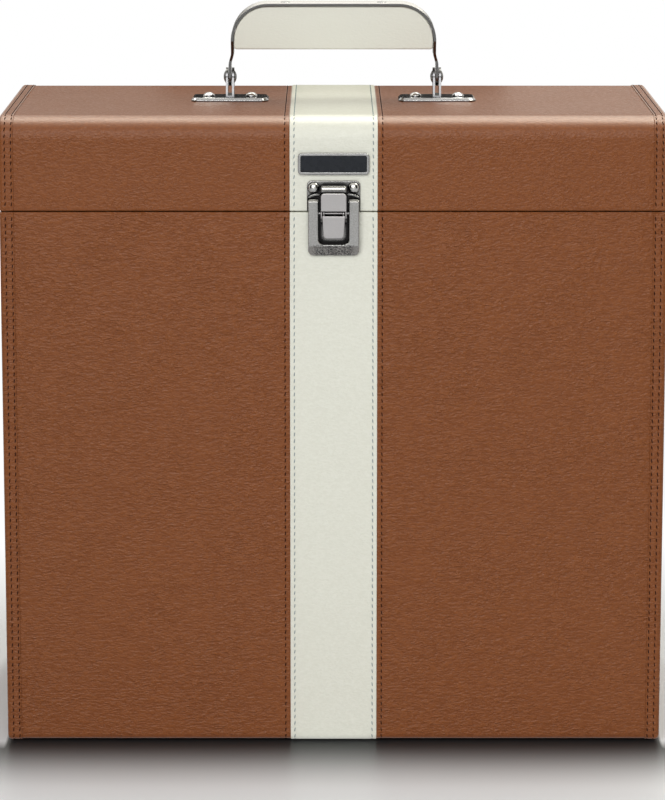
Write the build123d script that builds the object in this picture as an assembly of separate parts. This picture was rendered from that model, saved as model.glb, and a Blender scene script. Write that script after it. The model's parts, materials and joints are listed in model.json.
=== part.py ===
"""Record carrying case: a board box covered in leatherette, with a hinged lid, a draw latch
and a folding handle. Millimetres, +Z up, front towards -Y, origin under the middle of the case
on the surface that it stands on."""

import os
from collections import namedtuple
from math import asin, cos, sin

from build123d import *

# Case shell
case_width = 350.0
case_depth = 160.0
case_height = 338.0
lid_height = 50.0
lid_gap = 0.6
top_edge_radius = 12.5
bottom_edge_radius = 3.5
side_edge_radius = 2.0
board_thickness = 6.0
lining_thickness = 0.8
base_sheet_thickness = 0.8
base_sheet_margin = 8.0

# Leatherette covers
cover_thickness = 1.0
seam_rise = 0.4
rim_turn = 1.0
stripe_width = 46.0
side_lap = 7.6

# Rivets and pins
rivet_clearance = 0.05
pin_clearance = 0.05
clinch_radius = 2.6
clinch_height = 0.8
rivet_rim_fraction = 0.2
washer_radius = 4.5
washer_thickness = 0.8

# Rear hinges
hinge_spacing = 190.0
hinge_knuckle_length = 8.0
hinge_knuckle_count = 5
hinge_knuckle_gap = 0.2
hinge_leaf_height = 20.0
hinge_leaf_thickness = 1.0
hinge_leaf_corner_radius = 2.6
hinge_pin_radius = 1.0
hinge_pin_overhang = 0.5
hinge_clearance = 0.15
hinge_rivet_spacing = 24.0
hinge_rivet_height = 12.5
hinge_stop_length = 6.5
hinge_stop_gap = 0.1
lid_open_angle = 105.0

# Latch, heights measured from the line between lid and body
latch_width = 26.7
latch_rise = 7.0
latch_drop = 23.0
latch_depth = 4.6
latch_floor = 0.6
latch_corner_radius = 3.0
latch_top_corner_radius = 1.2
latch_edge_radius = 0.5
latch_bevel_drop = 5.5
latch_bevel_depth = 3.2
latch_recess_width = 16.0
latch_recess_drop = 16.8
latch_rivet_spacing = 5.2
latch_rivet_drop = 11.0
lever_pin_radius = 0.7
lever_pin_drop = 0.5
lever_pin_out = 2.6
lever_pin_seat = 2.0
claw_pin_radius = 0.6
claw_pin_drop = 4.2
claw_pin_out = 2.1
tab_thickness = 1.0
tab_out = 5.4
tab_edge_radius = 0.3
lever_top_width = 12.0
lever_foot_width = 10.5
lever_top_drop = 1.7
lever_foot_drop = 13.4
lever_corner_radius = 2.0
lever_cheek_inset = 0.5
lever_cheek_thickness = 0.7
lever_eye_radius = 1.3
claw_width = 13.4
claw_foot_rise = 0.8
claw_top_rise = 10.3
claw_corner_radius = 1.8
claw_ear_thickness = 0.6
claw_eye_radius = 1.2
claw_hook_width = 10.0
claw_hook_thickness = 1.0
claw_hook_reach = 2.4

# Keeper on the lid
keeper_width = 28.0
keeper_top_rise = 16.4
keeper_thickness = 1.0
keeper_corner_radius = 2.5
keeper_clearance = 0.3
keeper_arch_half_width = 6.8
keeper_arch_foot_rise = 10.8
keeper_arch_top_rise = 14.2
keeper_arch_depth = 4.2
keeper_slot_height = 2.2
keeper_slot_width = 11.0
keeper_wing_width = 1.0
keeper_wing_height = 0.9
keeper_wing_start = (0.3, 1.4)
keeper_wing_bend = (3.6, 1.3)
keeper_arch_radius = 2.2
keeper_arch_side_radius = 1.0
keeper_rivet_spacing = 20.8
keeper_rivet_rise = 12.7

# Badge plate, kept bare
badge_width = 37.3
badge_height = 11.4
badge_rise = 25.3
badge_thickness = 1.6
badge_rim = 1.3
badge_corner_radius = 2.0
badge_pocket_depth = 0.6
badge_inlay_gap = 0.1

# Handle
handle_pivot_spacing = 112.0
handle_pivot_height = 12.2
handle_height = 52.6
handle_arch_width = 110.7
handle_corner_radius = 20.0
strap_thickness = 1.5
strap_width = 20.0
strap_foot_radius = 5.0
strap_taper_start = 9.0
strap_taper_end = 20.0
strap_jog_low = 7.5
strap_jog_high = 12.5
strap_jog_radius = 8.0
handle_pivot_radius = 1.5
grip_low_height = 27.8
grip_depth = 18.0
grip_gap = 0.15
grip_corner_radius = 4.0
grip_edge_radius = 2.5
grip_cover_thickness = 1.2
grip_screw_spacing = 52.0
grip_screw_depth = 9.0
plate_length = 41.8
plate_depth = 21.0
plate_thickness = 2.0
plate_corner_radius = 4.0
plate_bevel = 1.2
plate_rivet_spacing = 23.0
clevis_gap = 2.1
clevis_cheek_thickness = 1.2
clevis_eye_radius = 5.0
clevis_foot_half_depth = 7.0
clevis_base_thickness = 1.0

RivetHead = namedtuple("RivetHead", "radius height shank")
hinge_head = RivetHead(2.6, 1.3, 1.4)
latch_head = RivetHead(1.9, 0.9, 1.0)
keeper_head = RivetHead(2.9, 1.8, 1.3)
plate_head = RivetHead(3.2, 2.2, 1.6)
screw_head = RivetHead(2.6, 0.6, 1.4)
pivot_head = RivetHead(3.25, 1.3, handle_pivot_radius)

# Places worked out from the sizes above
split_height = case_height - lid_height
body_rim = split_height - lid_gap / 2
lid_rim = split_height + lid_gap / 2
board_inset = seam_rise + cover_thickness
hollow_inset = board_inset + board_thickness
lining_inset = hollow_inset + lining_thickness
front = -case_depth / 2
panel_back = case_depth / 2 - seam_rise
panel_top = case_height - seam_rise
barrel_radius = hinge_pin_radius + pin_clearance + hinge_leaf_thickness
hinge_y = panel_back + hinge_clearance + barrel_radius
hinge_width = hinge_knuckle_length * hinge_knuckle_count
plate_top = panel_top + plate_thickness
pivot_z = case_height + handle_pivot_height
beyond = 2 * max(case_width, case_depth, case_height)


def block(x, y, z):
    """Box between a low and a high limit along each axis."""
    limits = (x, y, z)
    middle = [(low + high) / 2 for low, high in limits]
    return Pos(*middle) * Box(*[high - low for low, high in limits])


def both(half):
    return (-half, half)


def mirrored(shape):
    return mirror(shape, Plane.YZ)


def rounded_form(inset, half_width):
    """The case's outline, pulled in by inset, with its long top and bottom edges rounded."""
    form = block(
        both(half_width),
        both(case_depth / 2 - inset),
        (base_sheet_thickness + inset, case_height - inset),
    )
    long_edges = form.edges().filter_by(Axis.X).group_by(Axis.Z)
    form = fillet(long_edges[-1], top_edge_radius - inset)
    long_edges = form.edges().filter_by(Axis.X).group_by(Axis.Z)
    return fillet(long_edges[0], bottom_edge_radius - inset)


def rivet(place, head, grip, tail=True):
    """Domed rivet whose head sits on place, +Z outwards, through a stack of thickness grip."""
    rim = head.height * rivet_rim_fraction
    if tail:
        foot = [(clinch_radius, -grip), (clinch_radius, -grip - clinch_height), (0, -grip - clinch_height)]
    else:
        foot = [(0, -grip)]
    axis_line = Line((0, head.height), (0, foot[-1][1]))
    shank = Polyline(
        *reversed(foot), (head.shank, -grip), (head.shank, 0), (head.radius, 0), (head.radius, rim)
    )
    ball = (head.radius**2 + (head.height - rim) ** 2) / (2 * (head.height - rim))
    half_angle = asin(head.radius / ball) / 2
    crown = (ball * sin(half_angle), head.height - ball + ball * cos(half_angle))
    dome = ThreePointArc((head.radius, rim), crown, (0, head.height))
    outline = [*axis_line.edges(), *shank.edges(), *dome.edges()]
    return place * revolve(Plane.XZ * make_face(outline), Axis.Z)


def rivet_hole(place, head, grip):
    """Clearance hole for the shank of such a rivet, run past both ends."""
    depth = grip + 2 * clinch_height
    return place * Pos(0, 0, -depth / 2 + clinch_height / 2) * Cylinder(head.shank + rivet_clearance, depth)


def drilled(shape, holes):
    for hole in holes:
        shape = shape - hole
    return shape


def front_slab(sketch, out_low, out_high):
    """Raise a profile drawn in X and Z from one distance in front of the stripe to another."""
    face = Plane(origin=(0, front - out_low, 0), x_dir=(1, 0, 0), z_dir=(0, -1, 0)) * sketch
    return extrude(face, amount=out_high - out_low)


def side_slab(sketch, x_low, x_high):
    """Extrude a profile drawn as (distance in front of the stripe, height) between two X limits."""
    face = Plane(origin=(x_high, front, 0), x_dir=(0, -1, 0), z_dir=(-1, 0, 0)) * sketch
    return extrude(face, amount=x_high - x_low)


def cross_pin(radius, length, y, z):
    return Pos(0, y, z) * Rot(0, 90, 0) * Cylinder(radius, length)


def at_stripe(x, out, z):
    """A place in front of the stripe, looking outwards."""
    return Plane(origin=(x, front - out, z), x_dir=(1, 0, 0), z_dir=(0, -1, 0))


def corner_fillet(sketch, low_radius, high_radius):
    rows = sketch.vertices().group_by(Axis.Y)
    sketch = fillet(rows[0], low_radius)
    rows = sketch.vertices().group_by(Axis.Y)
    return fillet(rows[-1], high_radius)


# ---- rivet places ----

def hinge_rivet_places(side):
    """Two places on each hinge, above (side 1) or below (side -1) the split."""
    height = split_height + side * hinge_rivet_height
    spots = [c + s for c in both(hinge_spacing / 2) for s in both(hinge_rivet_spacing / 2)]
    out = panel_back + hinge_leaf_thickness
    return [Plane(origin=(x, out, height), x_dir=(-1, 0, 0), z_dir=(0, 1, 0)) for x in spots]


hinge_grip = hinge_leaf_thickness + lining_inset - seam_rise
latch_grip = latch_floor + lining_inset
keeper_grip = keeper_thickness + lining_inset
plate_grip = plate_thickness + lining_inset - seam_rise + washer_thickness
latch_places = [
    at_stripe(x, latch_floor, split_height - latch_rivet_drop) for x in both(latch_rivet_spacing / 2)
]
keeper_places = [
    at_stripe(x, keeper_thickness, split_height + keeper_rivet_rise) for x in both(keeper_rivet_spacing / 2)
]
plate_places = [
    Plane(origin=(c + s, 0, plate_top))
    for c in both(handle_pivot_spacing / 2)
    for s in both(plate_rivet_spacing / 2)
]
case_holes = [rivet_hole(p, hinge_head, hinge_grip) for p in hinge_rivet_places(-1)]
case_holes += [rivet_hole(p, latch_head, latch_grip) for p in latch_places]
lid_holes = [rivet_hole(p, hinge_head, hinge_grip) for p in hinge_rivet_places(1)]
lid_holes += [rivet_hole(p, keeper_head, keeper_grip) for p in keeper_places]
lid_holes += [rivet_hole(p, plate_head, plate_grip) for p in plate_places]


# ---- boards, covers and linings ----

def covers(prefix, zone, inner, holes):
    """The leatherette pieces over one half of the case, zone being its height range."""
    deep = both(beyond)
    panel_form = rounded_form(seam_rise, case_width / 2 - side_lap / 2)
    panel = panel_form & block((-case_width / 2 + side_lap, -stripe_width / 2), deep, zone)
    stripe = rounded_form(0, stripe_width / 2) & block(both(beyond), deep, zone)
    side_form = rounded_form(0, case_width / 2)
    side_form = fillet(side_form.faces().sort_by(Axis.X)[0].edges(), side_edge_radius)
    side = side_form & block((-beyond, -case_width / 2 + side_lap), deep, zone)
    left_panel = panel - inner
    left_side = side - inner
    return {
        prefix + "_left_cover": drilled(left_panel, holes),
        prefix + "_right_cover": drilled(mirrored(left_panel), holes),
        prefix + "_stripe": drilled(stripe - inner, holes),
        prefix + "_left_side_cover": left_side,
        prefix + "_right_side_cover": mirrored(left_side),
    }


def lining(zone, hollow, holes):
    """Fabric skin inside a hollow, open where the hollow is open."""
    inside = block(
        both(case_width / 2 - lining_inset),
        both(case_depth / 2 - lining_inset),
        (base_sheet_thickness + lining_inset, case_height - lining_inset),
    )
    return drilled((hollow & block(both(beyond), both(beyond), zone)) - inside, holes)


def case_half():
    floor = base_sheet_thickness + hollow_inset
    side_x = case_width / 2 - hollow_inset
    side_y = case_depth / 2 - hollow_inset
    core = rounded_form(board_inset, case_width / 2 - board_inset)
    core = core & block(both(beyond), both(beyond), (0, body_rim - rim_turn))
    hollow = block(both(side_x), both(side_y), (floor, split_height))
    shell = core - hollow
    left = shell & block((-beyond, -side_x), both(beyond), (0, beyond))
    front_board = shell & block(both(side_x), (-beyond, 0), (floor, beyond))
    back_board = shell & block(both(side_x), (0, beyond), (floor, beyond))
    sheet_x = case_width / 2 - base_sheet_margin
    sheet_y = case_depth / 2 - base_sheet_margin
    nodes = {
        "case_front_board": drilled(front_board, case_holes),
        "case_back_board": drilled(back_board, case_holes),
        "case_left_board": left,
        "case_right_board": mirrored(left),
        "case_base_board": shell & block(both(side_x), both(beyond), (0, floor)),
        "case_base_sheet": block(both(sheet_x), both(sheet_y), (0, base_sheet_thickness)),
        "case_lining": lining((0, body_rim), hollow, case_holes),
    }
    nodes.update(covers("case", (0, body_rim), core + hollow, case_holes))
    return nodes


def lid_half():
    ceiling = case_height - hollow_inset
    side_x = case_width / 2 - hollow_inset
    side_y = case_depth / 2 - hollow_inset
    edge_y = case_depth / 2 - top_edge_radius
    edge_z = case_height - top_edge_radius
    core = rounded_form(board_inset, case_width / 2 - board_inset)
    core = core & block(both(beyond), both(beyond), (lid_rim + rim_turn, beyond))
    hollow = block(both(side_x), both(side_y), (split_height, ceiling))
    shell = core - hollow
    between = both(side_x)
    left = shell & block((-beyond, -side_x), both(beyond), (0, beyond))
    top_board = shell & block(between, both(edge_y), (ceiling, beyond))
    nodes = {
        "lid_top_board": drilled(top_board, lid_holes),
        "lid_left_board": left,
        "lid_right_board": mirrored(left),
        "lid_lining": lining((lid_rim, beyond), hollow, lid_holes),
    }
    for name, reach in (("front", (-beyond, -edge_y)), ("back", (edge_y, beyond))):
        wall = shell & block(between, reach, (0, edge_z))
        nodes["lid_" + name + "_board"] = drilled(wall, lid_holes)
        nodes["lid_" + name + "_batten"] = shell & block(between, reach, (edge_z, beyond))
    nodes.update(covers("lid", (lid_rim, beyond), core + hollow, lid_holes))
    return nodes


# ---- hinges ----

def hinge_leaf(centre_x, side, first):
    """One leaf: side 1 goes up the lid, -1 down the case; it owns every second knuckle from first."""
    leaf_y = (panel_back, panel_back + hinge_leaf_thickness)
    foot = barrel_radius + hinge_clearance + hinge_knuckle_gap
    heights = sorted([split_height + side * foot, split_height + side * hinge_leaf_height])
    leaf = block((centre_x - hinge_width / 2, centre_x + hinge_width / 2), leaf_y, heights)
    corners = leaf.edges().filter_by(Axis.Y).group_by(Axis.Z)[-1 if side > 0 else 0]
    leaf = fillet(corners, hinge_leaf_corner_radius)
    for index in range(first, hinge_knuckle_count, 2):
        middle = centre_x + (index - (hinge_knuckle_count - 1) / 2) * hinge_knuckle_length
        half = (hinge_knuckle_length - hinge_knuckle_gap) / 2
        reach = sorted([split_height, split_height + side * (foot + hinge_leaf_thickness)])
        leaf += block((middle - half, middle + half), leaf_y, reach)
        leaf += Pos(middle, hinge_y, split_height) * Rot(0, 90, 0) * Cylinder(barrel_radius, 2 * half)
        if side > 0 and index in (0, hinge_knuckle_count - 1):
            leaf += hinge_stop(middle, half)
    bore = cross_pin(hinge_pin_radius + pin_clearance, hinge_width, hinge_y, split_height)
    return drilled(leaf - Pos(centre_x, 0, 0) * bore, case_holes if side < 0 else lid_holes)


def hinge_stop(middle, half):
    """Tail on an end knuckle that comes down flat on the case leaf when the lid is fully open."""
    near = hinge_y - panel_back - hinge_leaf_thickness - hinge_stop_gap
    tail = block(
        (middle - half, middle + half),
        (-near, hinge_leaf_thickness - near),
        (-hinge_stop_length, 0),
    )
    return Pos(0, hinge_y, split_height) * Rot(lid_open_angle, 0, 0) * tail


def hinges():
    nodes = {}
    pin_length = hinge_width + 2 * hinge_pin_overhang
    for name, centre_x in (("left", -hinge_spacing / 2), ("right", hinge_spacing / 2)):
        nodes[name + "_hinge_case_leaf"] = hinge_leaf(centre_x, -1, 1)
        nodes[name + "_hinge_lid_leaf"] = hinge_leaf(centre_x, 1, 0)
        nodes[name + "_hinge_pin"] = Pos(centre_x, 0, 0) * cross_pin(
            hinge_pin_radius, pin_length, hinge_y, split_height
        )
    for name, side in (("hinge_case_rivets", -1), ("hinge_lid_rivets", 1)):
        nodes[name] = [rivet(p, hinge_head, hinge_grip) for p in hinge_rivet_places(side)]
    return nodes


# ---- latch ----

lever_pin_z = split_height - lever_pin_drop
claw_pin_z = split_height - claw_pin_drop
tab_back = tab_out - tab_thickness


def latch_base():
    low = split_height - latch_drop
    high = split_height + latch_rise
    outline = Pos(0, (low + high) / 2) * Rectangle(latch_width, high - low)
    outline = corner_fillet(outline, latch_corner_radius, latch_top_corner_radius)
    recess_low = split_height - latch_recess_drop
    recess_high = high + latch_recess_drop
    recess = Pos(0, (recess_low + recess_high) / 2) * Rectangle(latch_recess_width, recess_high - recess_low)
    recess = corner_fillet(recess, latch_corner_radius, latch_top_corner_radius)
    body = front_slab(outline, 0, latch_depth) - front_slab(recess, latch_floor, 2 * latch_depth)
    body = fillet(body.faces().sort_by(Axis.Y)[0].edges(), latch_edge_radius)
    profile = Polyline(
        (0, low),
        (latch_depth - latch_bevel_depth, low),
        (latch_depth, low + latch_bevel_drop),
        (latch_depth, high - latch_top_corner_radius),
        (latch_depth - latch_top_corner_radius, high),
        (0, high),
        close=True,
    )
    body = body & side_slab(make_face(profile), -latch_width, latch_width)
    step = keeper_thickness + keeper_clearance
    body -= block(both(beyond), (front - step, front + step), (body_rim, beyond))
    pin_length = latch_recess_width + 2 * lever_pin_seat
    body -= cross_pin(lever_pin_radius + pin_clearance, pin_length, front - lever_pin_out, lever_pin_z)
    return drilled(body, case_holes)


def tab_face(foot_width, top_width, low, high, foot_radius, top_radius):
    """Flat tab with rounded corners, as a solid at the front of the latch."""
    outline = make_face(
        Polyline(
            (-foot_width / 2, low),
            (foot_width / 2, low),
            (top_width / 2, high),
            (-top_width / 2, high),
            close=True,
        )
    )
    outline = corner_fillet(outline, foot_radius, top_radius)
    tab = front_slab(outline, tab_back, tab_out)
    return fillet(tab.faces().sort_by(Axis.Y)[0].edges(), tab_edge_radius)


def latch_lever():
    top = split_height - lever_top_drop
    foot = split_height - lever_foot_drop
    lever = tab_face(lever_foot_width, lever_top_width, foot, top, lever_corner_radius, tab_edge_radius)
    outer = lever_foot_width / 2 + lever_cheek_inset - tab_edge_radius
    web = make_face(
        Polyline(
            (claw_pin_out, claw_pin_z - lever_eye_radius),
            (tab_back, claw_pin_z - lever_eye_radius),
            (tab_back, top - tab_edge_radius),
            (lever_pin_out + lever_eye_radius / 2, lever_pin_z),
            (lever_pin_out - lever_eye_radius, lever_pin_z),
            (claw_pin_out - lever_eye_radius, claw_pin_z),
            close=True,
        )
    )
    web += Pos(claw_pin_out, claw_pin_z) * Circle(lever_eye_radius)
    web += Pos(lever_pin_out, lever_pin_z) * Circle(lever_eye_radius)
    cheek = side_slab(web, outer - lever_cheek_thickness, outer)
    lever += cheek
    lever += mirrored(cheek)
    lever -= cross_pin(lever_pin_radius + pin_clearance, beyond, front - lever_pin_out, lever_pin_z)
    return lever - cross_pin(claw_pin_radius + pin_clearance, beyond, front - claw_pin_out, claw_pin_z)


def latch_claw():
    foot = split_height + claw_foot_rise
    top = split_height + claw_top_rise
    claw = tab_face(claw_width, claw_width, foot, top, tab_edge_radius, claw_corner_radius)
    rear = lever_pin_out + lever_pin_radius + keeper_clearance / 2
    arm = make_face(
        Polyline(
            (claw_pin_out, claw_pin_z - claw_eye_radius),
            (tab_back, claw_pin_z + claw_eye_radius),
            (tab_back, top - claw_corner_radius),
            (claw_hook_reach, top - claw_corner_radius),
            (claw_hook_reach, foot + claw_ear_thickness),
            (rear, foot),
            (rear, lever_pin_z - claw_eye_radius),
            (claw_pin_out - claw_eye_radius / 2, claw_pin_z + claw_eye_radius / 2),
            close=True,
        )
    )
    arm += Pos(claw_pin_out, claw_pin_z) * Circle(claw_eye_radius)
    ear = side_slab(arm, claw_width / 2 - claw_ear_thickness, claw_width / 2)
    claw += ear
    claw += mirrored(ear)
    claw += block(
        both(claw_hook_width / 2),
        (front - tab_back, front - claw_hook_reach),
        (top - claw_hook_thickness, top),
    )
    return claw - cross_pin(claw_pin_radius + pin_clearance, beyond, front - claw_pin_out, claw_pin_z)


def latch_keeper():
    low = lid_rim
    high = split_height + keeper_top_rise
    outline = Pos(0, (low + high) / 2) * Rectangle(keeper_width, high - low)
    outline = corner_fillet(outline, tab_edge_radius, keeper_corner_radius)
    keeper = front_slab(outline, 0, keeper_thickness)
    keeper = chamfer(keeper.faces().sort_by(Axis.Y)[0].edges(), tab_edge_radius)
    arch_low = split_height + keeper_arch_foot_rise
    arch_high = split_height + keeper_arch_top_rise
    arch = block(
        both(keeper_arch_half_width),
        (front - keeper_arch_depth, front - keeper_thickness),
        (arch_low, arch_high),
    )
    top_edge = arch.faces().sort_by(Axis.Y)[0].edges().filter_by(Axis.X).group_by(Axis.Z)[-1]
    arch = fillet(top_edge, keeper_arch_radius)
    for end in (0, -1):
        end_edges = arch.faces().sort_by(Axis.X)[end].edges()
        arch = fillet(end_edges.group_by(Axis.Y)[0], keeper_arch_side_radius)
    slot_high = arch_low - tab_edge_radius
    keeper -= block(
        both(keeper_slot_width / 2),
        (front - 2 * keeper_thickness, front),
        (slot_high - keeper_slot_height, slot_high),
    )
    wing_low = split_height + latch_rise + 2 * keeper_clearance
    wing = ThreePointArc(
        (keeper_arch_half_width + keeper_wing_start[0], wing_low + keeper_wing_start[1]),
        (keeper_arch_half_width + keeper_wing_bend[0], wing_low + keeper_wing_bend[1]),
        (keeper_width / 2 - keeper_wing_width, wing_low),
    )
    bead = front_slab(trace(wing, keeper_wing_width), keeper_thickness, keeper_thickness + keeper_wing_height)
    return drilled(keeper + arch + bead + mirrored(bead), lid_holes)


def latch():
    pin_length = latch_recess_width + 2 * lever_pin_seat
    return {
        "latch_base": latch_base(),
        "latch_base_rivets": [rivet(p, latch_head, latch_grip) for p in latch_places],
        "latch_lever_pin": cross_pin(lever_pin_radius, pin_length, front - lever_pin_out, lever_pin_z),
        "latch_lever": latch_lever(),
        "latch_claw_pin": cross_pin(claw_pin_radius, claw_width, front - claw_pin_out, claw_pin_z),
        "latch_claw": latch_claw(),
        "latch_keeper": latch_keeper(),
        "latch_keeper_rivets": [rivet(p, keeper_head, keeper_grip) for p in keeper_places],
    }


# ---- badge ----

def badge():
    centre = split_height + badge_rise
    outline = Pos(0, centre) * RectangleRounded(badge_width, badge_height, badge_corner_radius)
    frame = front_slab(outline, 0, badge_thickness)
    frame = chamfer(frame.faces().sort_by(Axis.Y)[0].edges(), badge_pocket_depth / 2)
    pocket = [badge_width - 2 * badge_rim, badge_height - 2 * badge_rim, badge_corner_radius / 2]
    floor = badge_thickness - badge_pocket_depth
    frame -= front_slab(Pos(0, centre) * RectangleRounded(*pocket), floor, 2 * badge_thickness)
    field = Pos(0, centre) * RectangleRounded(
        pocket[0] - 2 * badge_inlay_gap, pocket[1] - 2 * badge_inlay_gap, badge_corner_radius / 2
    )
    return {
        "badge_frame": frame,
        "badge_inlay": front_slab(field, floor, floor + badge_pocket_depth / 2),
    }


# ---- handle ----

def handle_strap():
    """Flat steel strap bent into an arch, its legs set outwards to the pivots and narrowed there."""
    top = case_height + handle_height - strap_thickness / 2
    foot = pivot_z - strap_foot_radius
    arch_x = (handle_arch_width - strap_thickness) / 2
    leg_x = handle_pivot_spacing / 2
    jog = [(arch_x, pivot_z + strap_jog_high), (leg_x, pivot_z + strap_jog_low)]
    right = [(arch_x, top), *jog, (leg_x, foot)]
    left = [(-x, z) for x, z in reversed(right)]
    bends = [strap_jog_radius, strap_jog_radius, handle_corner_radius - strap_thickness / 2]
    path = FilletPolyline(*left, *right, radius=bends + bends[::-1])
    ribbon = Plane.XZ * trace(path, strap_thickness)
    strap = extrude(ribbon, amount=strap_width / 2, both=True)
    half = strap_width / 2
    profile = make_face(
        Polyline(
            (-strap_foot_radius, pivot_z),
            (strap_foot_radius, pivot_z),
            (strap_foot_radius, pivot_z + strap_taper_start),
            (half, pivot_z + strap_taper_end),
            (half, top + half),
            (-half, top + half),
            (-half, pivot_z + strap_taper_end),
            (-strap_foot_radius, pivot_z + strap_taper_start),
            close=True,
        )
    )
    profile += Pos(0, pivot_z) * Circle(strap_foot_radius)
    strap = strap & extrude(Plane.YZ * profile, amount=case_width / 2, both=True)
    strap -= cross_pin(handle_pivot_radius + pin_clearance, case_width, 0, pivot_z)
    for place in grip_screw_places():
        strap -= rivet_hole(place, screw_head, strap_thickness)
    return strap


def grip_form(inset):
    """The grip's outline, pulled in by inset."""
    low = case_height + grip_low_height + inset
    high = case_height + handle_height - strap_thickness - grip_gap - inset
    half = handle_arch_width / 2 - strap_thickness - grip_gap - inset
    outline = Pos(0, (low + high) / 2) * Rectangle(2 * half, high - low)
    inner_radius = handle_corner_radius - strap_thickness - grip_gap
    outline = corner_fillet(outline, grip_corner_radius - inset, inner_radius - inset)
    form = extrude(Plane.XZ * outline, amount=grip_depth / 2 - inset, both=True)
    edges = form.faces().sort_by(Axis.Y)[0].edges() + form.faces().sort_by(Axis.Y)[-1].edges()
    return fillet(edges, grip_edge_radius - inset)


def grip_screw_places():
    top = case_height + handle_height
    return [Plane(origin=(x, 0, top)) for x in both(grip_screw_spacing / 2)]


def handle_grip():
    holes = [rivet_hole(p, screw_head, grip_screw_depth + 2 * clinch_height) for p in grip_screw_places()]
    core = grip_form(grip_cover_thickness)
    return {
        "handle_grip_cover": drilled(grip_form(0) - core, holes),
        "handle_grip_core": drilled(core, holes),
        "handle_grip_screws": [
            rivet(p, screw_head, grip_screw_depth, tail=False) for p in grip_screw_places()
        ],
    }


def handle_plate(middle):
    plate = Pos(middle, 0, panel_top + plate_thickness / 2) * Box(plate_length, plate_depth, plate_thickness)
    plate = fillet(plate.edges().filter_by(Axis.Z), plate_corner_radius)
    plate = chamfer(plate.faces().sort_by(Axis.Z)[-1].edges(), plate_bevel)
    return drilled(plate, lid_holes)


def handle_clevis(middle):
    """U-shaped ear: two cheeks that hold one end of the strap."""
    cheek = make_face(
        Polyline(
            (-clevis_foot_half_depth, plate_top),
            (clevis_foot_half_depth, plate_top),
            (clevis_eye_radius, pivot_z),
            (-clevis_eye_radius, pivot_z),
            close=True,
        )
    )
    cheek += Pos(0, pivot_z) * Circle(clevis_eye_radius)
    overall = clevis_gap + 2 * clevis_cheek_thickness
    clevis = Pos(middle, 0, 0) * extrude(Plane.YZ * cheek, amount=overall / 2, both=True)
    slot_z = (plate_top + clevis_base_thickness, beyond)
    clevis -= block((middle - clevis_gap / 2, middle + clevis_gap / 2), both(beyond), slot_z)
    hole = cross_pin(handle_pivot_radius + pin_clearance, 2 * overall, 0, pivot_z)
    return clevis - Pos(middle, 0, 0) * hole


def handle_pivot(middle):
    """Rivet through both cheeks, domed at each end."""
    overall = clevis_gap + 2 * clevis_cheek_thickness
    outer = Plane(origin=(middle + overall / 2, 0, pivot_z), x_dir=(0, 1, 0), z_dir=(1, 0, 0))
    inner = Plane(origin=(middle - overall / 2, 0, pivot_z), x_dir=(0, -1, 0), z_dir=(-1, 0, 0))
    half = overall / 2
    return rivet(outer, pivot_head, half, tail=False) + rivet(inner, pivot_head, half, tail=False)


def handle():
    nodes = {"handle_strap": handle_strap()}
    nodes.update(handle_grip())
    for name, middle in (("left", -handle_pivot_spacing / 2), ("right", handle_pivot_spacing / 2)):
        nodes[name + "_handle_plate"] = handle_plate(middle)
        nodes[name + "_handle_clevis"] = handle_clevis(middle)
        nodes[name + "_handle_pivot"] = handle_pivot(middle)
    nodes["handle_plate_rivets"] = [rivet(p, plate_head, plate_grip) for p in plate_places]
    washer_low = case_height - lining_inset - washer_thickness
    washer = Cylinder(washer_radius, washer_thickness) - Cylinder(plate_head.shank + rivet_clearance, beyond)
    nodes["handle_rivet_washers"] = [
        Pos(p.origin.X, p.origin.Y, washer_low + washer_thickness / 2) * washer for p in plate_places
    ]
    return nodes


def main():
    os.makedirs("parts", exist_ok=True)
    nodes = {}
    for group in (case_half, lid_half, hinges, latch, badge, handle):
        nodes.update(group())
    for name, shape in nodes.items():
        solids = shape if isinstance(shape, list) else [shape]
        whole = Compound(children=[s for item in solids for s in item.solids()])
        export_step(whole, "parts/" + name + ".step")
    print(len(nodes), "nodes written")


main()
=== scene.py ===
import json
from math import cos, pi, radians, sin

import bmesh
import bpy
from mathutils import Matrix, Vector


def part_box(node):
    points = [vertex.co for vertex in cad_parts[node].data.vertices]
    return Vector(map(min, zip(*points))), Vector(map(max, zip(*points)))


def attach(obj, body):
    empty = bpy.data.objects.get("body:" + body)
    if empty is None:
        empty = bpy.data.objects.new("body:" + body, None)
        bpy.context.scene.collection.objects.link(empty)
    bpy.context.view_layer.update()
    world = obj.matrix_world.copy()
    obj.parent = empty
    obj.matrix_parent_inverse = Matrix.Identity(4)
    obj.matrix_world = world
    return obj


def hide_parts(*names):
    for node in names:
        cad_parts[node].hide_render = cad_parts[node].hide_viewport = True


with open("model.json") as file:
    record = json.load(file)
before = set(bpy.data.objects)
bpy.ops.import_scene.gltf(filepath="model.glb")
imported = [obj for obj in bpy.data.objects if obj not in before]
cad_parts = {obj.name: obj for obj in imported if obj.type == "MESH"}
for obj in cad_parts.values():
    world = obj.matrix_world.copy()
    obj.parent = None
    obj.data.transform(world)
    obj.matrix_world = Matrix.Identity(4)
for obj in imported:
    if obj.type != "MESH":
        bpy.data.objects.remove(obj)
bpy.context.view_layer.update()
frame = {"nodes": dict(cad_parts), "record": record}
mm = 0.001
scene = bpy.context.scene
nodes = frame["nodes"]


# Where things are, read from the frame
def nodeBox(name):
    low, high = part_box(name)
    return Vector(low), Vector(high)


stripeLow, stripeHigh = nodeBox("case_stripe")
lidStripeLow, lidStripeHigh = nodeBox("lid_stripe")
panelHigh = nodeBox("case_right_cover")[1]
sideLow, sideHigh = nodeBox("case_right_side_cover")

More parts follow.
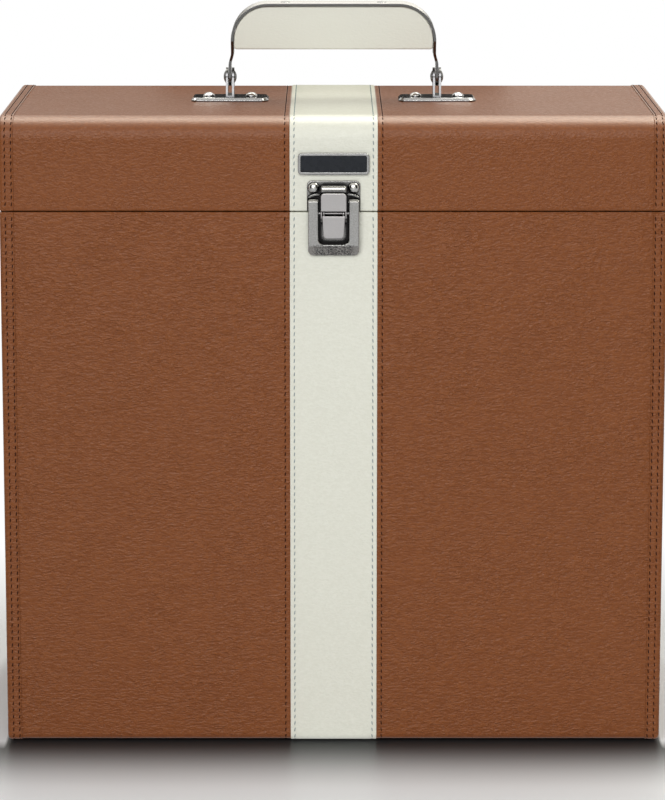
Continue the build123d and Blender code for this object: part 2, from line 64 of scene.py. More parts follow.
outline = {
    "topRadius": 12.5 * mm,
    "bottomRadius": 3.5 * mm,
    "rimRadius": 0.7 * mm,
    "rimReach": 7.2 * mm,      # how far the leather turns in over the board's edge
    "depth": stripeHigh.y,
    "bottom": stripeLow.z,
    "bodyRim": stripeHigh.z,
    "lidRim": lidStripeLow.z,
    "top": lidStripeHigh.z,
    "panelInset": stripeHigh.y - panelHigh.y,
}

wall = 0.5 * mm                # thickness of the leather

thread = {
    "pitch": 3.6 * mm,
    "length": 2.5 * mm,
    "width": 0.62 * mm,
    "slant": radians(9),
    "endGap": 1.5 * mm,        # from the turned-in rim to the first stitch
    "grooveWidth": 0.8 * mm,
    "grooveDepth": 0.17 * mm,
}

seams = {
    "stripeInner": stripeHigh.x - 2.3 * mm,
    "stripeOuter": stripeHigh.x + 2.6 * mm,
    "cornerNear": sideHigh.x - 3.2 * mm,
    "cornerFar": sideHigh.x - 6.5 * mm,
}


# Shader helpers
class Socket:
    def __init__(self, tree, link):
        self.tree, self.link = tree, link

    def put(self, kind, other, swap=False):
        first, second = (other, self) if swap else (self, other)
        return self.tree.node("ShaderNodeMath", {"operation": kind}, {0: first, 1: second})

    def __add__(self, other):
        return self.put("ADD", other)

    def __radd__(self, other):
        return self.put("ADD", other, True)

    def __sub__(self, other):
        return self.put("SUBTRACT", other)

    def __rsub__(self, other):
        return self.put("SUBTRACT", other, True)

    def __mul__(self, other):
        return self.put("MULTIPLY", other)

    def __rmul__(self, other):
        return self.put("MULTIPLY", other, True)

    def maximum(self, other):
        return self.put("MAXIMUM", other)

    def magnitude(self):
        return self.put("ABSOLUTE", 0.0)

    def axis(self, letter):
        return self.tree.node("ShaderNodeSeparateXYZ", {}, {0: self}, letter)


class Shader:
    def __init__(self, name, owner=None):
        self.owner = owner or bpy.data.materials.new(name)
        self.owner.use_nodes = True
        self.tree = self.owner.node_tree
        self.skin = self.tree.nodes.get("Principled BSDF") or self.tree.nodes["Background"]
        self.place = self.node("ShaderNodeTexCoord", {}, {}, "Object")
        self.facing = Socket(self, self.place.link.node.outputs["Normal"])

    def node(self, kind, settings, values, out=0):
        made = self.tree.nodes.new(kind)
        for key, value in settings.items():
            setattr(made, key, value)
        for key, value in values.items():
            if isinstance(value, Socket):
                self.tree.links.new(value.link, made.inputs[key])
            else:
                made.inputs[key].default_value = value
        return Socket(self, made.outputs[out])

    def stretched(self, scale):
        return self.node("ShaderNodeMapping", {}, {"Vector": self.place, "Scale": scale})

    def noise(self, scale, detail=3.0, rough=0.5, at=None):
        values = {"Vector": at or self.place, "Scale": scale, "Detail": detail, "Roughness": rough}
        return self.node("ShaderNodeTexNoise", {}, values)

    def cells(self, scale):
        return self.node("ShaderNodeTexVoronoi", {}, {"Vector": self.place, "Scale": scale}, "Distance")

    def ramp(self, value, low, high, lowOut=0.0, highOut=1.0):
        limits = {"Value": value, "From Min": low, "From Max": high, "To Min": lowOut, "To Max": highOut}
        return self.node("ShaderNodeMapRange", {}, limits)

    def mix(self, factor, first, second):
        return self.node("ShaderNodeMix", {"data_type": "RGBA"}, {0: factor, 6: first, 7: second}, 2)

    def bump(self, height, distance, strength=1.0, under=None):
        values = {"Height": height, "Distance": distance, "Strength": strength}
        if under is not None:
            values["Normal"] = under
        return self.node("ShaderNodeBump", {}, values)

    def finish(self, **sockets):
        for name, value in sockets.items():
            target = self.skin.inputs[name.replace("_", " ")]
            if isinstance(value, Socket):
                self.tree.links.new(value.link, target)
            else:
                target.default_value = value
        return self.owner


def colour(red, green, blue):
    return (red, green, blue, 1.0)


# Materials
leather = {
    "bodyWrinkle": (320.0, 320.0, 900.0),  # long across, short up and down
    "lidWrinkle": (470.0, 620.0, 960.0),
    "wrinkleDepth": 0.70 * mm,
    "pebble": 820.0,                       # cells per metre
    "patch": 9.0,
    "wrinkleShare": 0.62,
    "pebbleShare": 0.30,
    "patchShare": 0.15,
    "gloss": 0.28,
    "stretched": 0.3,                      # share of the grain left where it is pulled over an edge
    "tone": (0.28, 0.88),                  # the relief's range from dark to light; the creases come out darker, part grain colour and part painted shade
    "polish": 0.43,                        # roughness of the polish on rounded edges
    "polishOn": (0.5, 0.75),               # comes in as the surface turns from upright to level,
    "polishOff": (0.995, 0.97),            # and is left off where it is level
}


def makeLeather(name, light, dark, rough, depth, wrinkle):
    shade = Shader(name)
    calm = shade.ramp(shade.noise(45.0, 2.0, 0.5), 0.35, 0.65, 0.55, 1.0)
    bent = shade.stretched(leather[wrinkle])
    values = {"Vector": bent, "Scale": 1.0, "Detail": 1.5, "Roughness": 0.5, "Distortion": 0.6}
    ridges = shade.ramp(shade.node("ShaderNodeTexNoise", {}, values), 0.30, 0.70)
    relief = ridges * leather["wrinkleShare"] + shade.cells(leather["pebble"]) * leather["pebbleShare"]
    rise = shade.facing.axis("Z")
    turned = (rise * shade.facing.axis("Y")).magnitude()
    taut = shade.ramp(turned, 0.1, 0.5, 1.0, leather["stretched"])
    upright = rise.magnitude()
    patches = shade.noise(leather["patch"], 3.0, 0.5)
    # darker in the creases of the grain: part grain colour, part painted shade
    tone = shade.ramp(relief + patches * leather["patchShare"], *leather["tone"])
    return shade.finish(
        Base_Color=shade.mix(tone, dark, light),
        Roughness=shade.ramp(relief, 0.2, 0.8, rough + 0.05, rough - 0.05),
        Normal=shade.bump(relief * calm * taut, leather["wrinkleDepth"] * depth, 1.0),
        Specular_IOR_Level=leather["gloss"],
        Coat_Weight=shade.ramp(upright, *leather["polishOn"]) * shade.ramp(upright, *leather["polishOff"]),
        Coat_Roughness=leather["polish"],
    )


def makeThread(name, tint, shadow):
    shade = Shader(name)
    turns = {"Vector": shade.place, "Scale": 900.0, "Distortion": 2.0}
    twist = shade.node("ShaderNodeTexWave", {"wave_type": "BANDS"}, turns)
    return shade.finish(
        Base_Color=shade.mix(twist, shadow, tint),
        Roughness=0.85,
        Normal=shade.bump(twist, 0.05 * mm, 0.6),
        Specular_IOR_Level=0.12,
    )


metalShades = {
    # painted shade: crevices are darkened in the colour, by ambient occlusion within this reach
    "creviceShadeReach": 3.6 * mm,
    "creviceShade": colour(0.012, 0.0115, 0.0115),
    "fleck": colour(0.045, 0.045, 0.048),
    "pit": colour(0.14, 0.13, 0.13),
    "cut": colour(0.035, 0.035, 0.035),    # painted dark reflection on a strip's cut edges, the faces looking forward and back
    "footMottle": 0.75,                    # below a look's foot height
    "footBlend": 0.4 * mm,
    "footEnds": (8.5 * mm, 11.5 * mm),     # across, where that mottle thins out, so the foot's ends are lighter: a painted highlight on its corners
    "footEndMottle": 0.1,
}


def makeMetal(name, look):
    shade = Shader(name)
    smear = shade.noise(1.0, 3.0, 0.6, shade.stretched((160.0, 160.0, 900.0)))
    cloud = shade.noise(320.0, 4.0, 0.65)
    fleck = shade.noise(1300.0, 2.0, 0.6)
    pits = shade.ramp(shade.noise(2200.0, 2.0, 0.5), 0.58, 0.7)
    rounded = shade.node("ShaderNodeBevel", {"samples": 6}, {"Radius": look["edge"]})
    flat = shade.node("ShaderNodeNewGeometry", {}, {}, "True Normal")
    bend = shade.node("ShaderNodeVectorMath", {"operation": "DOT_PRODUCT"}, {0: rounded, 1: flat}, "Value")
    values = {"Distance": metalShades["creviceShadeReach"]}
    free = shade.node("ShaderNodeAmbientOcclusion", {"samples": 8}, values, "AO")
    footTop = look.get("foot", 0.0)
    foot = shade.ramp(shade.place.axis("Z"), footTop + metalShades["footBlend"], footTop)
    across = shade.place.axis("X").magnitude()
    # painted highlight: the mottle thins towards the foot's ends, leaving them lighter
    foot = foot * shade.ramp(across, *metalShades["footEnds"], 1.0, metalShades["footEndMottle"])
    mottle = look["mottle"] + foot * metalShades["footMottle"]
    body = shade.mix(shade.ramp(fleck, 0.38, 0.62) * mottle, look["tint"], metalShades["fleck"])
    body = shade.mix(pits * look["wear"], body, metalShades["pit"])
    # painted shade: faces looking forward or back are darkened by the look's cut share
    edgeShadeMask = shade.ramp(shade.facing.axis("Y").magnitude(), 0.6, 0.9)
    body = shade.mix(edgeShadeMask * look.get("cut", 0.0), body, metalShades["cut"])
    # painted on rounded edges, found by the bevel normal: the rim colour, a painted highlight where it is
    # lighter than the tint and painted shade where it is darker
    body = shade.mix(shade.ramp(1.0 - bend, 0.03, 0.16), body, look["rim"])
    # painted shade: darkened towards the crevice shade colour where ambient occlusion finds the surface
    # closed in
    body = shade.mix(shade.ramp(free, look["closed"], look["clear"]), metalShades["creviceShade"], body)
    haze = smear * 0.6 + cloud * 0.4
    return shade.finish(
        Base_Color=body,
        Metallic=1.0,
        Roughness=shade.ramp(haze, 0.3, 0.7, look["rough"], look["rough"] + look["spread"]),
        Normal=shade.bump(fleck * mottle + cloud * 0.5, 0.04 * mm, 0.35, rounded),
    )


# rim is the colour painted on rounded edges; closed and clear are the occlusion range of the painted crevice
# shade; cut is the share of painted shade on the cut edges
metalLooks = {
    "bright": {
        "tint": colour(0.56, 0.56, 0.575), "rim": colour(0.66, 0.65, 0.64),
        "closed": 0.25, "clear": 0.75,
        "rough": 0.10, "spread": 0.08, "wear": 0.2, "edge": 0.35 * mm, "mottle": 0.05,
    },
    "bracket": {
        "tint": colour(0.17, 0.171, 0.178), "rim": colour(0.22, 0.215, 0.21),
        "closed": 0.40, "clear": 0.95,
        "rough": 0.20, "spread": 0.08, "wear": 0.2, "edge": 0.22 * mm, "mottle": 0.1,
    },
    "plate": {
        "tint": colour(0.44, 0.445, 0.465), "rim": colour(0.80, 0.79, 0.78),
        "closed": 0.35, "clear": 0.95,
        "rough": 0.08, "spread": 0.06, "wear": 0.3, "edge": 0.45 * mm, "mottle": 0.1,
    },
    "strap": {
        "tint": colour(0.86, 0.86, 0.86), "rim": colour(0.62, 0.62, 0.62),
        "closed": 0.20, "clear": 0.60, "cut": 0.85,
        "rough": 0.16, "spread": 0.06, "wear": 0.1, "edge": 0.35 * mm, "mottle": 0.05,
    },
    "rivet": {
        "tint": colour(0.50, 0.497, 0.49), "rim": colour(0.40, 0.40, 0.40),
        "closed": 0.60, "clear": 0.99,
        "rough": 0.10, "spread": 0.05, "wear": 0.1, "edge": 0.20 * mm, "mottle": 0.05,
    },
    "pressed": {
        "tint": colour(0.37, 0.365, 0.355), "rim": colour(0.85, 0.84, 0.83),
        "closed": 0.76, "clear": 0.99, "foot": 271.0 * mm,
        "rough": 0.12, "spread": 0.10, "wear": 0.3, "edge": 0.45 * mm, "mottle": 0.22,
    },
    "badge": {
        "tint": colour(0.36, 0.36, 0.36), "rim": colour(0.52, 0.52, 0.52),
        "closed": 0.50, "clear": 0.97,
        "rough": 0.14, "spread": 0.08, "wear": 0.2, "edge": 0.30 * mm, "mottle": 0.1,
    },
    "satin": {
        "tint": colour(0.41, 0.40, 0.405), "rim": colour(0.42, 0.40, 0.385),
        "closed": 0.25, "clear": 0.70,
        "rough": 0.30, "spread": 0.08, "wear": 0.1, "edge": 0.40 * mm, "mottle": 0.05,
    },
    "hinge": {
        "tint": colour(0.50, 0.50, 0.51), "rim": colour(0.66, 0.65, 0.64),
        "closed": 0.30, "clear": 0.80,
        "rough": 0.20, "spread": 0.14, "wear": 0.6, "edge": 0.30 * mm, "mottle": 0.15,
    },
}


def makeBoard():
    shade = Shader("raw_fibreboard")
    fibres = shade.noise(1.0, 5.0, 0.7, shade.stretched((500.0, 500.0, 130.0)))
    return shade.finish(
        Base_Color=shade.mix(fibres, colour(0.34, 0.24, 0.15), colour(0.52, 0.40, 0.27)),
        Roughness=0.85,
        Normal=shade.bump(fibres, 0.1 * mm, 0.6),
    )


def makeLining():
    shade = Shader("black_flock")
    nap = shade.noise(2400.0, 2.0, 0.6)
    brushed = shade.noise(30.0, 3.0, 0.6)
    tone = nap * 0.5 + brushed * 0.5
    return shade.finish(
        Base_Color=shade.mix(tone, colour(0.012, 0.012, 0.013), colour(0.05, 0.05, 0.054)),
        Roughness=0.95,
        Normal=shade.bump(nap, 0.12 * mm, 0.8),
        Sheen_Weight=0.25,
    )


def makeBaseSheet():
    shade = Shader("matt_base_sheet")
    grain = shade.cells(900.0)
    scuffs = shade.ramp(shade.noise(60.0, 6.0, 0.7), 0.5, 0.8)
    return shade.finish(
        Base_Color=shade.mix(scuffs, colour(0.022, 0.021, 0.02), colour(0.06, 0.057, 0.053)),
        Roughness=shade.ramp(grain, 0.0, 0.8, 0.78, 0.6),
        Normal=shade.bump(grain, 0.08 * mm, 0.7),
    )


def makeEnamel():
    shade = Shader("dark_enamel")
    haze = shade.noise(300.0, 4.0, 0.6)
    return shade.finish(
        Base_Color=shade.mix(haze, colour(0.006, 0.008, 0.012), colour(0.013, 0.016, 0.022)),
        Roughness=shade.ramp(haze, 0.3, 0.7, 0.22, 0.34),
        Normal=shade.bump(haze, 0.02 * mm, 0.2),
        Specular_IOR_Level=0.25,
    )


brownLight, brownDark = colour(0.226, 0.068, 0.0152), colour(0.182, 0.0505, 0.0098)
creamLight, creamDark = colour(0.785, 0.790, 0.710), colour(0.745, 0.749, 0.665)
brownLeather = {
    "case": makeLeather("brown_leather_body", brownLight, brownDark, 0.38, 1.0, "bodyWrinkle"),
    "lid": makeLeather("brown_leather_lid", brownLight, brownDark, 0.38, 0.62, "lidWrinkle"),
}
creamLeather = makeLeather("cream_leather", creamLight, creamDark, 0.42, 0.22, "lidWrinkle")
gripLeather = makeLeather("cream_grip_leather", creamLight, creamLight, 0.42, 0.10, "lidWrinkle")
brownThread = makeThread("brown_thread", colour(0.040, 0.010, 0.005), colour(0.014, 0.004, 0.003))
creamThread = makeThread("cream_thread", colour(0.36, 0.42, 0.43), colour(0.24, 0.28, 0.29))
metal = {name: makeMetal(name + "_nickel", look) for name, look in metalLooks.items()}
boardMaterial = makeBoard()
flock = makeLining()
baseSheetMaterial = makeBaseSheet()
enamel = makeEnamel()
print("materials made")


touch = 1e-6                               # points nearer than this are the same


# Mesh helpers
def finished(name, mesh, material, body, smooth=True):
    data = bpy.data.meshes.new(name)
    mesh.normal_update()
    mesh.to_mesh(data)
    mesh.free()
    data.materials.append(material)
    for face in data.polygons:
        face.use_smooth = smooth
    piece = bpy.data.objects.new(name, data)
    scene.collection.objects.link(piece)
    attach(piece, body)
    return piece


def dressNode(name, material):
    for slot in nodes[name].material_slots:
        slot.material = material


# The path that the leather follows round each half, in Y and Z
def runsOf(half, inset):
    deep = outline["depth"] - inset
    reach = outline["rimReach"]
    small = outline["rimRadius"]
    if half == "case":
        rim = outline["bodyRim"]
        far = outline["bottom"] + inset
        bend = outline["bottomRadius"] - inset
        way = -1
    else:
        rim = outline["lidRim"]
        far = outline["top"] - inset
        bend = outline["topRadius"] - inset
        way = 1
    tall = abs(far - rim)
    start = Vector((0, -deep + reach, rim))
    return start, way, [
        ("run", reach - small),
        ("arc", small),
        ("run", tall - small - bend),
        ("arc", bend),
        ("run", 2 * deep - 2 * bend),
        ("arc", bend),
        ("run", tall - small - bend),
        ("arc", small),
        ("run", reach - small),
    ]


def walk(half, inset):
    start, way, runs = runsOf(half, inset)
    point, heading, length, legs = start.copy(), Vector((0, -1, 0)), 0.0, []
    for kind, size in runs:
        outward = Vector((0, -heading.z, heading.y)) * way
        if kind == "run":
            legs.append((kind, point.copy(), heading.copy(), outward.copy(), size, length))
            point += heading * size
            length += size
        else:
            centre = point - outward * size
            legs.append((kind, centre, heading.copy(), outward.copy(), size, length))
            point = centre + heading * size
            heading = -outward
            length += size * pi / 2
    return legs, length


def placeAt(legs, along):
    for kind, base, heading, outward, size, begin in reversed(legs):
        if along >= begin:
            break
    if kind == "run":
        return base + heading * (along - begin), heading, outward
    angle = (along - begin) / size
    normal = outward * cos(angle) + heading * sin(angle)
    return base + normal * size, heading * cos(angle) - outward * sin(angle), normal


def sweepStrip(half, inset, section, step):
    legs = walk(half, inset)[0]
    mesh = bmesh.new()
    start, _, outward = placeAt(legs, 0.0)
    row = [mesh.verts.new(start + Vector((x, 0, 0)) + outward * offset) for x, offset in section]
    edges = [mesh.edges.new(pair) for pair in zip(row, row[1:])]
    last = row + edges
    for kind, base, heading, outward, size, begin in legs:
        if kind == "run":
            steps = max(1, round(size / step))
            made = bmesh.ops.spin(
                mesh, geom=last, cent=(0, 0, 0), axis=(1, 0, 0), angle=0.0,
                dvec=heading * (size / steps), steps=steps, use_duplicate=False,
            )
        else:
            steps = max(3, round(size * pi / 2 / step))
            axis = outward.cross(heading)
            made = bmesh.ops.spin(
                mesh, geom=last, cent=base, axis=axis, angle=pi / 2,
                dvec=(0, 0, 0), steps=steps, use_duplicate=False,
            )
        last = made["geom_last"]
    bmesh.ops.remove_doubles(mesh, verts=mesh.verts, dist=touch)
    return mesh


def groove(section, centre):
    return section + [
        (centre - thread["grooveWidth"], 0.0),
        (centre - thread["grooveWidth"] / 2, -thread["grooveDepth"] * 0.6),
        (centre, -thread["grooveDepth"]),
        (centre + thread["grooveWidth"] / 2, -thread["grooveDepth"] * 0.6),
        (centre + thread["grooveWidth"], 0.0),
    ]


def outwards(mesh):
    bmesh.ops.recalc_face_normals(mesh, faces=mesh.faces)
    return mesh


def evenOut(piece):
    even = piece.modifiers.new("even", "WEIGHTED_NORMAL")
    even.keep_sharp = True


def thicken(piece):
    inward = piece.modifiers.new("wall", "SOLIDIFY")
    inward.thickness = wall
    inward.offset = -1.0
    evenOut(piece)


def bevelEdges(mesh, edges, radius, turns):
    bmesh.ops.bevel(
        mesh, geom=edges, offset=radius, segments=turns, profile=0.5, affect="EDGES", material=-1,
    )


def makeStitch():
    mesh = bmesh.new()
    size = Matrix.Diagonal((thread["width"], thread["length"], thread["width"] * 0.8, 1.0))
    bmesh.ops.create_uvsphere(mesh, u_segments=6, v_segments=4, radius=0.5, matrix=size)
    data = bpy.data.meshes.new("stitch")
    mesh.to_mesh(data)
    mesh.free()
    return data


def addStitches(name, half, inset, columns, material):
    legs, total = walk(half, inset)
    mesh = bmesh.new()
    stitch = makeStitch()
    reach = outline["rimReach"] + thread["endGap"]
    count = int((total - 2 * reach) / thread["pitch"])
    for column in columns:
        lean = Matrix.Rotation(thread["slant"] * (1 if column > 0 else -1), 4, "Z")
        for index in range(count):
            point, heading, outward = placeAt(legs, reach + (index + 0.5) * thread["pitch"])
            across = heading.cross(outward)
            turn = Matrix((across, heading, outward)).transposed().to_4x4()
            seat = Vector((column, 0, 0)) - outward * thread["grooveDepth"] * 0.6
            placed = stitch.copy()
            placed.transform(Matrix.Translation(point + seat) @ turn @ lean)
            mesh.from_mesh(placed)
            bpy.data.meshes.remove(placed)
    bpy.data.meshes.remove(stitch)
    return finished(name, mesh, material, half)


# Leather pieces, each from a section across: place and height of its points
stripeSides = {
    "lap": [(0.0, -0.62), (0.0, -0.35), (-0.12, -0.12), (-0.45, 0.0)],     # mm from the stripe's edge
    "flat": 12 * mm,
}
panelSides = {
    "tuck": 0.3 * mm,                              # how far it goes under its neighbours
    "tuckDrop": 0.06 * mm,
    "crown": (0.8 * mm, 0.02 * mm),                # a slight rise before the seam
    "flat": 7 * mm,
}


def stripeSection():
    right = [(stripeHigh.x + x * mm, drop * mm) for x, drop in stripeSides["lap"]]
    section = groove([(-x, drop) for x, drop in right], -seams["stripeInner"])
    section += [(x * stripeSides["flat"], 0.0) for x in (-1, 0, 1)]
    return groove(section, seams["stripeInner"]) + right[::-1]


def panelSection(side):
    inner, outer, tuck, flat = stripeHigh.x, sideLow.x, panelSides["tuck"], panelSides["flat"]
    crown, rise = panelSides["crown"]
    section = groove([(inner - tuck, -panelSides["tuckDrop"]), (inner + crown, rise)], seams["stripeOuter"])
    section += [(x, 0.0) for x in (inner + flat, (inner + outer) / 2, outer - flat, outer + tuck)]
    return section if side > 0 else [(-x, offset) for x, offset in reversed(section)]


def makeCovers(half):
    step = thread["pitch"] / 4

    def cover(name, mesh, material, slotName, node):
        piece = finished(name, mesh, material, half)
        thicken(piece)
        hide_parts(node)

    mesh = outwards(sweepStrip(half, 0.0, stripeSection(), step))
    cover(half + "_stripe_leather", mesh, creamLeather, "cream_leatherette", half + "_stripe")
    brown = brownLeather[half], "brown_leatherette"
    for side, word in ((-1, half + "_left"), (1, half + "_right")):
        mesh = outwards(sweepStrip(half, outline["panelInset"], panelSection(side), step))
        cover(word + "_panel_leather", mesh, *brown, word + "_cover")
        cover(word + "_side_leather", makeSideCap(half, side), *brown, word + "_side_cover")


sideCap = {
    "cornerRadius": 2.0 * mm,
    "cornerTurns": 5,
    "rimTurns": 4,
    "endTurns": {"case": 6, "lid": 14},
    "lapRound": 0.45 * mm,     # width over which the lapped edge rounds off
    "lapDrop": 0.16 * mm,
    "flatRim": 0.3 * mm,       # the turned-in rim is left as it is
}


def makeSideCap(half, side):
    if half == "case":
        far, rim, endRadius = outline["bottom"], outline["bodyRim"], outline["bottomRadius"]
    else:
        far, rim, endRadius = outline["top"], outline["lidRim"], outline["topRadius"]
    inner, outer, deep = side * sideLow.x, side * sideHigh.x, outline["depth"]
    size = Vector((abs(outer - inner), 2 * deep, abs(far - rim)))
    middle = Vector(((inner + outer) / 2, 0, (far + rim) / 2))
    mesh = bmesh.new()
    bmesh.ops.create_cube(mesh, size=1.0, matrix=Matrix.Translation(middle) @ Matrix.Diagonal((*size, 1.0)))

    def at(edge, axis, value):
        return all(abs(v.co[axis] - value) < touch for v in edge.verts)

    ends = [e for e in mesh.edges if at(e, 2, far) and (at(e, 1, deep) or at(e, 1, -deep))]
    bevelEdges(mesh, ends, endRadius, sideCap["endTurns"][half])
    corners = [e for e in mesh.edges if at(e, 0, outer) and not at(e, 2, rim)]
    bevelEdges(mesh, corners, sideCap["cornerRadius"], sideCap["cornerTurns"])
    rims = [e for e in mesh.edges if at(e, 2, rim) and not at(e, 0, inner)]
    bevelEdges(mesh, rims, outline["rimRadius"], sideCap["rimTurns"])
    hidden = [f for f in mesh.faces if all(abs(v.co.x - inner) < touch for v in f.verts)]
    bmesh.ops.delete(mesh, geom=hidden, context="FACES")

    cuts = [abs(inner) + sideCap["lapRound"], abs(inner) + sideCap["lapRound"] / 3]
    for seam in (seams["cornerFar"], seams["cornerNear"]):
        cuts += [seam + step * thread["grooveWidth"] / 2 for step in (-2, -1, 0, 1, 2)]
    for cut in cuts:
        bmesh.ops.bisect_plane(
            mesh, geom=mesh.verts[:] + mesh.edges[:] + mesh.faces[:], plane_co=(side * cut, 0, 0),
            plane_no=(1, 0, 0), dist=1e-7,
        )

    mesh.normal_update()
    moves = []
    for vert in mesh.verts:
        across = abs(vert.co.x)
        if abs(vert.co.z - rim) < sideCap["flatRim"]:
            continue
        for seam in (seams["cornerFar"], seams["cornerNear"]):
            away = abs(across - seam) / (thread["grooveWidth"] / 2)
            if away < 1.5:
                deepness = thread["grooveDepth"] * (1.0 if away < 0.5 else 0.6)
                moves.append((vert, -vert.normal * deepness))
        if abs(across - abs(inner)) < touch:
            moves.append((vert, -vert.normal * sideCap["lapDrop"]))
        elif abs(across - abs(inner) - sideCap["lapRound"] / 3) < touch:
            moves.append((vert, -vert.normal * sideCap["lapDrop"] * 0.3))
    for vert, move in moves:
        vert.co += move
    return mesh


for half in ("case", "lid"):
    makeCovers(half)
print("covers made")

brown = brownThread, "brown_leatherette"
stitchRows = {
    "_cream_stitches": (0.0, ["stripeInner"], creamThread, "cream_leatherette"),
    "_brown_stitches": (outline["panelInset"], ["stripeOuter"], *brown),
    "_corner_stitches": (0.0, ["cornerNear", "cornerFar"], *brown),
}
for half in ("case", "lid"):
    for ending, (inset, names, material, slotName) in stitchRows.items():
        columns = [side * seams[name] for side in (-1, 1) for name in names]
        addStitches(half + ending, half, inset, columns, material)
print("stitches made")


# Grip, linings and base sheet, from the shapes they stand for
grip = {
    "shoulderRadius": 18.3 * mm,
    "footRadius": 1.6 * mm,
    "edgeRadius": 0.9 * mm,
}

softEdge = {
    "radius": 0.2 * mm,
    "sharp": radians(60),      # edges that turn by more than this are rounded
}


def makeGrip():
    low, high = nodeBox("handle_grip_cover")
    size = high - low
    mesh = bmesh.new()
    place = Matrix.Translation((low + high) / 2) @ Matrix.Diagonal((*size, 1.0))
    bmesh.ops.create_cube(mesh, size=1.0, matrix=place)
    for level, radius, turns in ((high.z, "shoulderRadius", 16), (low.z, "footRadius", 5)):
        edges = [e for e in mesh.edges if abs(e.verts[0].co.y - e.verts[1].co.y) > size.y / 2]
        edges = [e for e in edges if abs(e.verts[0].co.z - level) < touch]
        edges = [e for e in edges if abs(abs(e.verts[0].co.x) - high.x) < touch]
        bevelEdges(mesh, edges, grip[radius], turns)
    mesh.normal_update()
    rims = list({e for f in mesh.faces if abs(f.normal.y) > 0.9 for e in f.edges})
    bevelEdges(mesh, rims, grip["edgeRadius"], 4)
    piece = finished("grip_leather", outwards(mesh), gripLeather, "handle")
    evenOut(piece)
    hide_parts("handle_grip_cover")


makeGrip()


def softCopy(name, source, material, body):
    mesh = bmesh.new()
    mesh.from_mesh(nodes[source].data)
    bmesh.ops.remove_doubles(mesh, verts=mesh.verts, dist=touch)
    edges = [e for e in mesh.edges if len(e.link_faces) == 2]
    edges = [e for e in edges if e.calc_face_angle(0.0) > softEdge["sharp"]]
    bevelEdges(mesh, edges, softEdge["radius"], 2)
    piece = finished(name, mesh, material, body)
    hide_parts(source)


softCopy("case_flock", "case_lining", flock, "case")
softCopy("lid_flock", "lid_lining", flock, "lid")
softCopy("base_sheet_skin", "case_base_sheet", baseSheetMaterial, "case")
print("soft pieces made")


# Finishes of the frame's own pieces
finishes = {
    "board": boardMaterial,
    "hinge_steel": metal["hinge"],
    "nickel": metal["bright"],
    "badge_field": enamel,
}
for entry in frame["record"]["subparts"]:
    if entry["material_slot"] in finishes:
        dressNode(entry["node"], finishes[entry["material_slot"]])
special = {
    "satin": ["latch_lever", "latch_claw", "latch_claw_pin", "latch_lever_pin"],
    "pressed": ["latch_base", "latch_keeper"],
    "strap": ["handle_strap"],
    "rivet": ["latch_base_rivets", "latch_keeper_rivets"],
    "badge": ["badge_frame"],
    "plate": ["left_handle_plate", "right_handle_plate"],
    "bracket": ["left_handle_clevis", "right_handle_clevis", "left_handle_pivot", "right_handle_pivot"],
}
for look, names in special.items():
    for name in names:
        dressNode(name, metal[look])
print("nodes dressed")


# Camera, floor and light
view = {
    "side": -2.7 * mm,
    "distance": 1815 * mm,     # from the front face
    "height": 558 * mm,
    "tilt": radians(10.23),
    "lens": 157.8,
    "sensor": 36,
    "shiftX": 0.005,
    "shiftY": -0.1,
    "farthest": 50,
}

camera = bpy.data.objects.new("camera", bpy.data.cameras.new("camera"))
scene.collection.objects.link(camera)
camera.location = (view["side"], -outline["depth"] - view["distance"], view["height"])
camera.rotation_euler = (pi / 2 - view["tilt"], 0, 0)
camera.data.sensor_width = view["sensor"]
camera.data.lens = view["lens"]
camera.data.shift_x = view["shiftX"]
camera.data.shift_y = view["shiftY"]
camera.data.clip_end = view["farthest"]
scene.camera = camera

floorLook = {
    "halfSize": 8.0,
    "paintedShadow": colour(0.022, 0.023, 0.025),
    "open": colour(0.83, 0.85, 0.895),
    "frontReach": 85 * mm,     # how far in front of the case the painted shadow reaches
    "sideReach": 20 * mm,
    "sideLight": 0.88,         # how light the painted shadow leaves the floor beside and behind the case
    "sideFrom": 14 * mm,       # that lightness comes in from here in front of the front face,
    "sideFull": 2 * mm,        # and is complete this far behind that face
    "sideEdge": 1.5 * mm,      # and this far out from the case's foot
    "fadeFrom": 70 * mm,       # clear of the case's foot, where the floor turns white
    "fadeTo": 280 * mm,
}


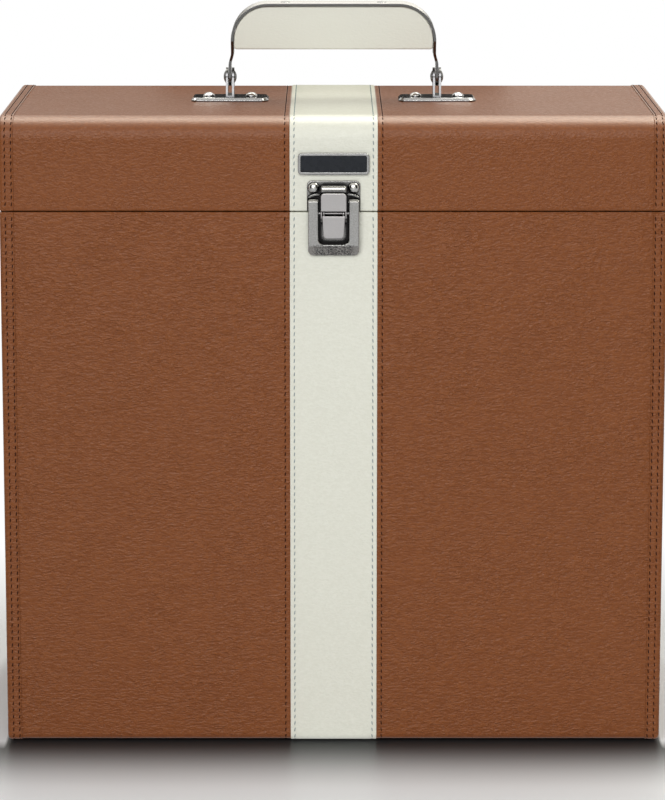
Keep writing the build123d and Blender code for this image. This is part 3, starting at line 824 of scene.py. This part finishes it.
def makeFloor():
    shade = Shader("white_floor")

    def length(*sides):
        joined = shade.node("ShaderNodeCombineXYZ", {}, dict(enumerate(sides)))
        return shade.node("ShaderNodeVectorMath", {"operation": "LENGTH"}, {0: joined}, "Value")

    deep, y = outline["depth"], shade.place.axis("Y")
    aside = (shade.place.axis("X").magnitude() - sideHigh.x).maximum(0.0)
    before, behind = (-deep - y).maximum(0.0), (y - deep).maximum(0.0)
    seen = shade.node("ShaderNodeLightPath", {}, {}, "Is Camera Ray")
    side, front = 1 / floorLook["sideReach"], 1 / floorLook["frontReach"]
    # a painted shadow, for camera rays only: the floor's colour darkens towards the case's foot, furthest in
    # front of it
    away = {"Value": length(aside * side, before * front, behind * side)}
    near = shade.node("ShaderNodeMapRange", {"interpolation_type": "SMOOTHSTEP"}, away)
    start, full = -deep - floorLook["sideFrom"], -deep + floorLook["sideFull"]
    beside = shade.ramp(y, start, full, 0.0, floorLook["sideLight"])
    beside = beside * shade.ramp(aside.maximum(behind), 0.0, floorLook["sideEdge"])
    near = near.maximum(beside).maximum(1.0 - seen)
    grey = shade.mix(near, floorLook["paintedShadow"], floorLook["open"])
    far = shade.ramp(length(aside, before, behind), floorLook["fadeFrom"], floorLook["fadeTo"]) * seen
    white = shade.node("ShaderNodeEmission", {}, {"Color": colour(1, 1, 1), "Strength": 1.0})
    shade.finish(Base_Color=grey, Roughness=0.35, Specular_IOR_Level=0.1)
    both = shade.node("ShaderNodeMixShader", {}, {0: far, 1: Socket(shade, shade.skin.outputs[0]), 2: white})
    shade.tree.links.new(both.link, shade.tree.nodes["Material Output"].inputs["Surface"])
    return shade.owner


def stagePlane(name, size, material, place=Matrix()):
    mesh = bmesh.new()
    bmesh.ops.create_grid(mesh, x_segments=1, y_segments=1, size=size)
    mesh.transform(place)
    data = bpy.data.meshes.new(name)
    mesh.to_mesh(data)
    mesh.free()
    data.materials.append(material)
    plane = bpy.data.objects.new(name, data)
    scene.collection.objects.link(plane)
    return plane


stagePlane("floor", floorLook["halfSize"], makeFloor())

white, warm = (1, 1, 1), (1, 0.985, 0.85)
lights = {                             # in metres and watts; the strip lights gloss only
    "front": {"at": (-0.5, -2.7, 1.75), "size": (2.4, 1.8), "power": 58.0, "tint": white, "diffuse": True},
    "overhead": {"at": (0.60, 0.35, 1.55), "size": (1.8, 0.7), "power": 10.0, "tint": warm, "diffuse": True},
    "strip": {"at": (0.06, 0.22, 1.50), "size": (2.2, 0.5), "power": 22.0, "tint": warm, "diffuse": False},
}
for name, lamp in lights.items():
    data = bpy.data.lights.new(name, "AREA")
    data.shape = "RECTANGLE"
    data.size, data.size_y, data.energy = *lamp["size"], lamp["power"]
    data.color = lamp["tint"]
    holder = bpy.data.objects.new(name, data)
    scene.collection.objects.link(holder)
    holder.location = lamp["at"]
    holder.visible_diffuse = lamp["diffuse"]
    aim = Vector((0, 0, 0.2)) - Vector(lamp["at"])
    holder.rotation_euler = aim.to_track_quat("-Z", "Y").to_euler()

flags = {                              # dark cards; those in front also block light
    "leftFlag": {"at": (-1.1, -0.9, 0.7), "size": (0.9, 1.3)},
    "rightFlag": {"at": (1.1, -0.9, 0.7), "size": (0.9, 1.3)},
    "lidFlag": {"at": (-0.17, 0.50, 0.355), "size": (0.45, 0.11)},
    "leftPlateFlag": {"at": (-0.0605, 0.20, 0.365), "size": (0.085, 0.036)},
    "rightPlateFlag": {"at": (0.0605, 0.20, 0.365), "size": (0.085, 0.036)},
}
cardMaterial = Shader("dark_card").finish(Base_Color=colour(0.03, 0.03, 0.03), Roughness=0.9)
for name, card in flags.items():
    aim = Vector((0, -0.05, 0.3)) - Vector(card["at"])
    turn = aim.to_track_quat("Z", "Y").to_matrix().to_4x4()
    place = Matrix.Translation(card["at"]) @ turn @ Matrix.Diagonal((*card["size"], 1.0, 1.0))
    plane = stagePlane(name, 0.5, cardMaterial, place)
    plane.visible_camera = False
    plane.visible_diffuse = plane.visible_shadow = card["at"][1] < 0

sky = {
    "seen": colour(1, 1, 1),
    "lit": colour(1.0, 0.965, 0.88),
    "diffuse": 0.42,                   # strength for diffuse rays; camera, glossy and transmission get 1
}
world = bpy.data.worlds.new("studio")
scene.world = world
shade = Shader("studio", world)
seen, glossy, passing = [
    shade.node("ShaderNodeLightPath", {}, {}, f"Is {ray} Ray") for ray in ("Camera", "Glossy", "Transmission")
]
shade.finish(
    Color=shade.mix(seen, sky["lit"], sky["seen"]),
    Strength=shade.ramp(seen.maximum(glossy).maximum(passing), 0.0, 1.0, sky["diffuse"], 1.0),
)
scene.view_settings.view_transform = "Standard"
print("camera, floor and lights set")
